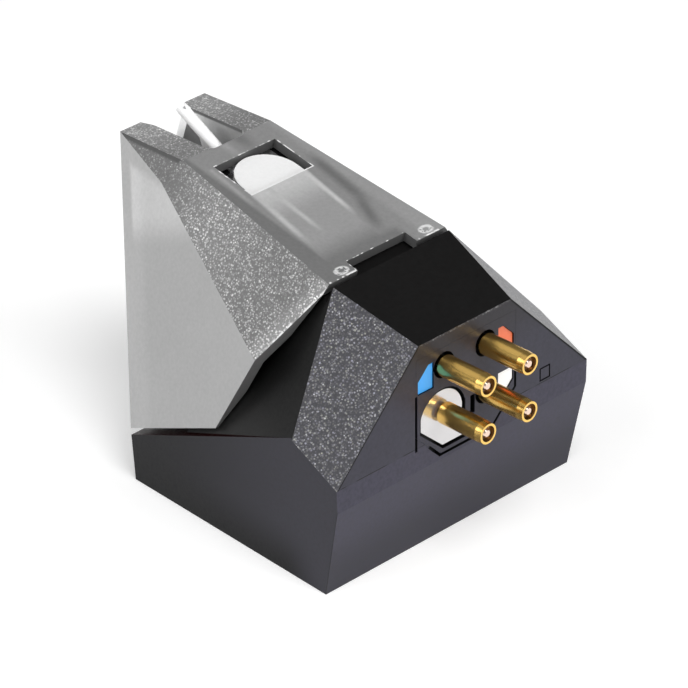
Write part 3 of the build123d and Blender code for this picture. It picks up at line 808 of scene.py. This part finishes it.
def slotSideTone(tree, spot, topEdge):
    # the slot's walls are painted paler towards the open front as painted light, and the window's walls dark
    # as painted shade
    look = guardLook
    tone = fade(tree, spot[1], look["slotRear"], look["slotFront"], look["slotTone"], look["slotFrontLightTone"])
    tone = mixValue(tree, topEdge, tone, look["slotEdgeTone"])
    windowStart = look["windowSideReach"] - look["windowSideFade"]
    inWindow = fade(tree, spot[1], look["windowSideReach"], windowStart)
    return mixValue(tree, inWindow, tone, look["windowSideShadeTone"])


def makeGuardPlastic():
    look = guardLook
    material, tree, shader = newMaterial("guardPlastic")
    spot = spotOf(tree)
    along = depthOf(tree, guardFacets["rim"])
    grains = place(tree, sparkle, scale=look["sparkleScale"], flakeShare=look["flakeShare"])
    onSlope = onFacet(tree, guardFacets["slope"])
    onRoof = onFacet(tree, guardFacets["roof"])
    onProng = onFacet(tree, guardFacets["prong"])
    # the bevels of the prongs lie further out than the slopes
    fromSlope = depthOf(tree, guardFacets["slope"])
    lead = calc(tree, "SUBTRACT", fromSlope, depthOf(tree, guardFacets["bevel"]))
    onBevel = overlap(tree, onSlope, fade(tree, lead, 0.0, look["bevelLead"]))
    topEdge = lineOf(tree, depthOf(tree, guardFacets["prong"]), look["edgeWidth"])
    bevel = speckled(tree, look["bevelTone"], grains, slopeLook["topSpeckle"])
    bevel = mixValue(tree, topEdge, bevel, look["edgeTone"])
    prong = fade(tree, spot[1], look["slotRear"], look["slotFront"], look["prongTone"], look["prongTipTone"])
    prong = speckled(tree, prong, grains, look["prongSpeckle"])
    roof = roofMarks(tree, spot[0], along, roofTone(tree, spot[0], along))
    # from the inside out, each facet over the ones before, each facet's tone with its painted light and shade
    layers = [
        (onFacet(tree, guardFacets["slotSide"]), slotSideTone(tree, spot, topEdge)),
        # painted shade on the back of the front wall
        (onFacet(tree, guardFacets["frontInside"]), look["frontInsideShadeTone"]),
        # painted light: the vee's cut face is near white
        (onFacet(tree, guardFacets["vee"]), look["veeLightTone"]),
        (onFacet(tree, guardFacets["rim"]), look["rimTone"]),
        (onFacet(tree, guardFacets["rearCut"]), look["cutTone"]),
        (onFacet(tree, guardFacets["cheek"]), cheekTone(tree, spot)),
        (onSlope, slopeTone(tree, spot, grains)),
        (onBevel, bevel),
        (onRoof, roof),
        (onProng, prong),
    ]
    # the inner faces are painted pale, as painted light through the plastic
    tone = look["innerLightTone"]
    for mask, layer in layers:
        tone = mixValue(tree, mask, tone, layer)
    tone = calc(tree, "MULTIPLY", tone, grainOf(tree, look)["tone"])
    colour = addNode(tree, "CombineColor", {0: tone, 1: tone, 2: tone}).outputs[0]
    height = overlap(tree, grains["glitter"], either(tree, onSlope, onProng))
    feed(tree, shader.inputs["Base Color"], colour)
    feed(tree, shader.inputs["Roughness"], mixValue(tree, onRoof, look["roughness"], look["roofRoughness"]))
    feed(tree, shader.inputs["Normal"], bumpFrom(tree, height, look))
    shader.inputs["Specular IOR Level"].default_value = look["specular"]
    return material


# Plain plastics: chips, holder, bobbins and damper
plainGrain = {
    "grainScale": 5200.0,
    "grainStrength": 0.05,
    "cloud": 0.04,
    "bump": 0.06,
    "bumpDistance": 0.01 * mm,
}
plainLooks = {
    "chipBlue": {"nodes": ["code_chip_blue"], "tone": (0.054, 0.385, 0.92), "roughness": 0.32},
    "chipRed": {"nodes": ["code_chip_red"], "tone": (0.74, 0.158, 0.06), "roughness": 0.32},
    "chipWhite": {"nodes": ["code_chip_white"], "tone": (0.95, 0.95, 0.95), "roughness": 0.35},
    "holderPlastic": {"nodes": ["stylus_holder"], "tone": (0.82, 0.82, 0.82), "roughness": 0.5},
    "bobbinPlastic": {"nodes": ["coil_bobbin"], "tone": (0.70, 0.66, 0.55), "roughness": 0.5},
    "damperRubber": {"nodes": ["suspension_damper"], "tone": (0.03, 0.03, 0.03), "roughness": 0.75},
}


def makePlainPlastic(name, look):
    material, tree, shader = newMaterial(name)
    grain = grainOf(tree, plainGrain)
    feed(tree, shader.inputs["Base Color"], times(tree, opaque(look["tone"]), grain["tone"]))
    feed(tree, shader.inputs["Roughness"], calc(tree, "MULTIPLY", grain["tone"], look["roughness"]))
    feed(tree, shader.inputs["Normal"], bumpFrom(tree, grain["height"], plainGrain))
    return material


# Metals, each with its own drawn or turned lines
metalGrain = {"strength": 0.12, "bump": 0.05, "bumpDistance": 0.01 * mm}
metalLooks = {
    "pinGold": {
        "nodes": ["terminal_pin"],
        "tone": (0.92, 0.60, 0.17),
        "roughness": 0.25,
        "stretch": (2500, 300, 2500),
        "cup": True,
    },
    "paleMetal": {
        "nodes": ["code_plate_pale"],
        "tone": (0.66, 0.65, 0.655),
        "roughness": 0.2,
        "stretch": (900, 300, 900),
        "metallic": 0.85,
    },
    "poleIron": {
        "nodes": ["pole_piece", "yoke"],
        "tone": (0.46, 0.46, 0.47),
        "roughness": 0.40,
        "stretch": (6000, 500, 6000),
    },
    "windingCopper": {
        "nodes": ["coil_winding"],
        "tone": (0.62, 0.24, 0.10),
        "roughness": 0.35,
        "stretch": (600, 14000, 14000),
    },
    "sleeveMetal": {
        "nodes": ["suspension_sleeve"],
        "tone": (0.72, 0.72, 0.74),
        "roughness": 0.28,
        "stretch": (700, 9000, 9000),
    },
    "wireSteel": {
        "nodes": ["tie_wire"],
        "tone": (0.62, 0.62, 0.63),
        "roughness": 0.3,
        "stretch": (9000, 500, 9000),
    },
    "magnetMetal": {
        "nodes": ["magnet"],
        "tone": (0.34, 0.34, 0.35),
        "roughness": 0.5,
        "stretch": (5000, 5000, 5000),
    },
    # the cantilever's aluminium is painted plain white and not metallic, as painted light
    "cantileverLitWhite": {
        "nodes": ["cantilever"],
        "tone": (0.98, 0.98, 0.98),
        "roughness": 0.45,
        "stretch": (9000, 600, 9000),
        "metallic": 0.0,
    },
}
# the cup in the end of each pin, painted dark as shade, and the dome in it
cupLook = {
    "tone": (0.26, 0.16, 0.07),
    "radius": 0.45,
    "edgeFade": 0.01,
    "domeTone": (0.86, 0.66, 0.54),
    "domeRadius": 0.33,
    "domeFade": 0.05,
}


def cupColour(tree, tone):
    # distance from the nearest of the pins' four axes, which the record's mounts give
    look = cupLook
    spot = spotOf(tree)
    axes = [mount["pos_m"] for mount in frame["record"]["mounts"] if mount["kind"] == "pin"]
    axisAcross = max(axis[0] for axis in axes) / mm
    axisLow = min(axis[2] for axis in axes) / mm
    axisHigh = max(axis[2] for axis in axes) / mm
    middle = (axisLow + axisHigh) / 2
    offAcross = calc(tree, "SUBTRACT", calc(tree, "ABSOLUTE", spot[0]), axisAcross)
    offUp = calc(tree, "SUBTRACT", apart(tree, spot[2], middle), axisHigh - middle)
    far = lengthOf(tree, offAcross, offUp)
    cup = fade(tree, far, look["radius"], look["radius"] - look["edgeFade"])
    dome = fade(tree, far, look["domeRadius"], look["domeRadius"] - look["domeFade"])
    colour = mixColour(tree, cup, tone, opaque(look["tone"]))
    return mixColour(tree, dome, colour, opaque(look["domeTone"]))


def makeMetal(name, look):
    material, tree, shader = newMaterial(name)
    drawn = place(tree, drawnGrain, stretch=look["stretch"], strength=metalGrain["strength"])
    tone = opaque(look["tone"])
    if look.get("cup"):
        tone = cupColour(tree, tone)
    feed(tree, shader.inputs["Base Color"], times(tree, tone, drawn["tone"]))
    feed(tree, shader.inputs["Roughness"], calc(tree, "MULTIPLY", drawn["tone"], look["roughness"]))
    feed(tree, shader.inputs["Normal"], bumpFrom(tree, drawn["height"], metalGrain))
    shader.inputs["Metallic"].default_value = look.get("metallic", 1.0)
    return material


# Diamond tip
diamondLook = {"tone": (0.92, 0.92, 0.94), "roughness": 0.05, "bending": 2.4, "clearness": 0.7}


def makeDiamond():
    material, tree, shader = newMaterial("tipDiamond")
    shader.inputs["Base Color"].default_value = opaque(diamondLook["tone"])
    shader.inputs["Roughness"].default_value = diamondLook["roughness"]
    shader.inputs["IOR"].default_value = diamondLook["bending"]
    shader.inputs["Transmission Weight"].default_value = diamondLook["clearness"]
    return material


dress(makeBasePlastic(), "mounting_base")
dress(makePlatePlastic(), "terminal_plate")
dress(makeShellPlastic(), "body_shell")
dress(makeGuardPlastic(), "stylus_guard")
dress(makeDiamond(), "stylus_tip")
for plainName, plainLook in plainLooks.items():
    dress(makePlainPlastic(plainName, plainLook), *plainLook["nodes"])
for metalName, metalLook in metalLooks.items():
    dress(makeMetal(metalName, metalLook), *metalLook["nodes"])
print("materials on every node")


# White floor: lit and shaded near the part, plain white further out; half width in metres
floorLook = {
    "halfWidth": 4.0,
    "drop": 0.02,
    "tone": 0.86,
    "lift": 0.27,
    "white": 1.0,
    "patchStart": 30.0,
    "patchEnd": 75.0,
}


def makeFloorPaint():
    look = floorLook
    material = bpy.data.materials.new("floorWhite")
    material.use_nodes = True
    tree = material.node_tree
    tree.nodes.clear()
    far = addNode(tree, "VectorMath", {0: pointOf(tree)}, operation="LENGTH").outputs["Value"]
    openFloor = fade(tree, far, look["patchStart"] * mm, look["patchEnd"] * mm)
    path = addNode(tree, "LightPath").outputs
    seen = either(tree, path["Is Camera Ray"], path["Is Glossy Ray"], path["Is Transmission Ray"])
    paint = addNode(tree, "BsdfDiffuse", {"Color": opaque((look["tone"],) * 3)}).outputs[0]
    white = addNode(tree, "Emission", {"Strength": look["white"]}).outputs[0]
    lift = addNode(tree, "Emission", {"Strength": look["lift"]}).outputs[0]
    near = addNode(tree, "AddShader", {0: paint, 1: lift}).outputs[0]
    shown = addNode(tree, "MixShader", {0: openFloor, 1: near, 2: white}).outputs[0]
    both = addNode(tree, "MixShader", {0: seen, 1: paint, 2: shown}).outputs[0]
    feed(tree, addNode(tree, "OutputMaterial").inputs["Surface"], both)
    return material


def makeFloor():
    half = floorLook["halfWidth"]
    corners = [(-half, -half, 0), (half, -half, 0), (half, half, 0), (-half, half, 0)]
    mesh = bpy.data.meshes.new("studioFloor")
    mesh.from_pydata(corners, [], [(0, 1, 2, 3)])
    mesh.materials.append(makeFloorPaint())
    floor = bpy.data.objects.new("studioFloor", mesh)
    floor.location.z = -floorLook["drop"] * mm
    scene.collection.objects.link(floor)


# Studio light: a bright horizon under a dark ceiling, by degrees of height
worldLook = {"tone": (1.0, 1.0, 1.0), "horizon": 1.0, "ceiling": 0.16, "bandTop": 5.0, "fadeTop": 10.0}
# soft boxes left, above and behind, and a faint card in front; distance and size in metres
lampLooks = {
    "leftBox": {"from": (-0.85, 0.12, 0.62), "distance": 0.40, "size": 0.30, "power": 0.6},
    "topFill": {"from": (-0.2, -0.5, 1.0), "distance": 0.50, "size": 0.24, "power": 1.3},
    "rearBox": {"from": (0.25, -1.0, 0.45), "distance": 0.45, "size": 0.25, "power": 0.85},
    "frontCard": {"from": (-0.13, 0.62, 0.78), "distance": 0.50, "size": 0.40, "power": 0.16},
}


def makeWorld():
    look = worldLook
    world = bpy.data.worlds.new("studioWorld")
    scene.world = world
    world.use_nodes = True
    tree = world.node_tree
    height = addNode(tree, "SeparateXYZ", {0: addNode(tree, "TexCoord").outputs["Generated"]}).outputs[2]
    angle = calc(tree, "DEGREES", calc(tree, "ARCSINE", height))
    level = fade(tree, angle, look["bandTop"], look["fadeTop"], look["horizon"], look["ceiling"])
    feed(tree, tree.nodes["Background"].inputs["Strength"], level)
    tree.nodes["Background"].inputs["Color"].default_value = opaque(look["tone"])


def makeLamp(name, look):
    data = bpy.data.lights.new(name, "AREA")
    data.shape = "DISK"
    data.size = look["size"]
    data.energy = look["power"]
    lamp = bpy.data.objects.new(name, data)
    toward = Vector(look["from"]).normalized()
    lamp.location = toward * look["distance"]
    lamp.rotation_mode = "QUATERNION"
    lamp.rotation_quaternion = (-toward).to_track_quat("-Z", "Y")
    scene.collection.objects.link(lamp)


# Camera as in the photograph, in millimetres and degrees
cameraLook = {
    "place": (-156.107, -160.772, 136.966),
    "lookAt": (1.861, -0.809, 6.360),
    "roll": -0.56,
    "lens": 257.99,
    "sensor": 36.0,
    "clipStart": 10.0,
    "clipEnd": 10000.0,
}


def makeCamera():
    look = cameraLook
    data = bpy.data.cameras.new("photoView")
    data.lens = look["lens"]
    data.sensor_width = look["sensor"]
    data.clip_start = look["clipStart"] * mm
    data.clip_end = look["clipEnd"] * mm
    camera = bpy.data.objects.new("photoView", data)
    spot = Vector(look["place"]) * mm
    ahead = (Vector(look["lookAt"]) * mm - spot).normalized()
    turn = ahead.to_track_quat("-Z", "Y").to_matrix().to_4x4()
    roll = Matrix.Rotation(radians(look["roll"]), 4, "Z")
    camera.matrix_world = Matrix.Translation(spot) @ turn @ roll
    scene.collection.objects.link(camera)
    scene.camera = camera


makeFloor()
makeWorld()
for lampName, lampLook in lampLooks.items():
    makeLamp(lampName, lampLook)
makeCamera()
print("floor, light and camera set")
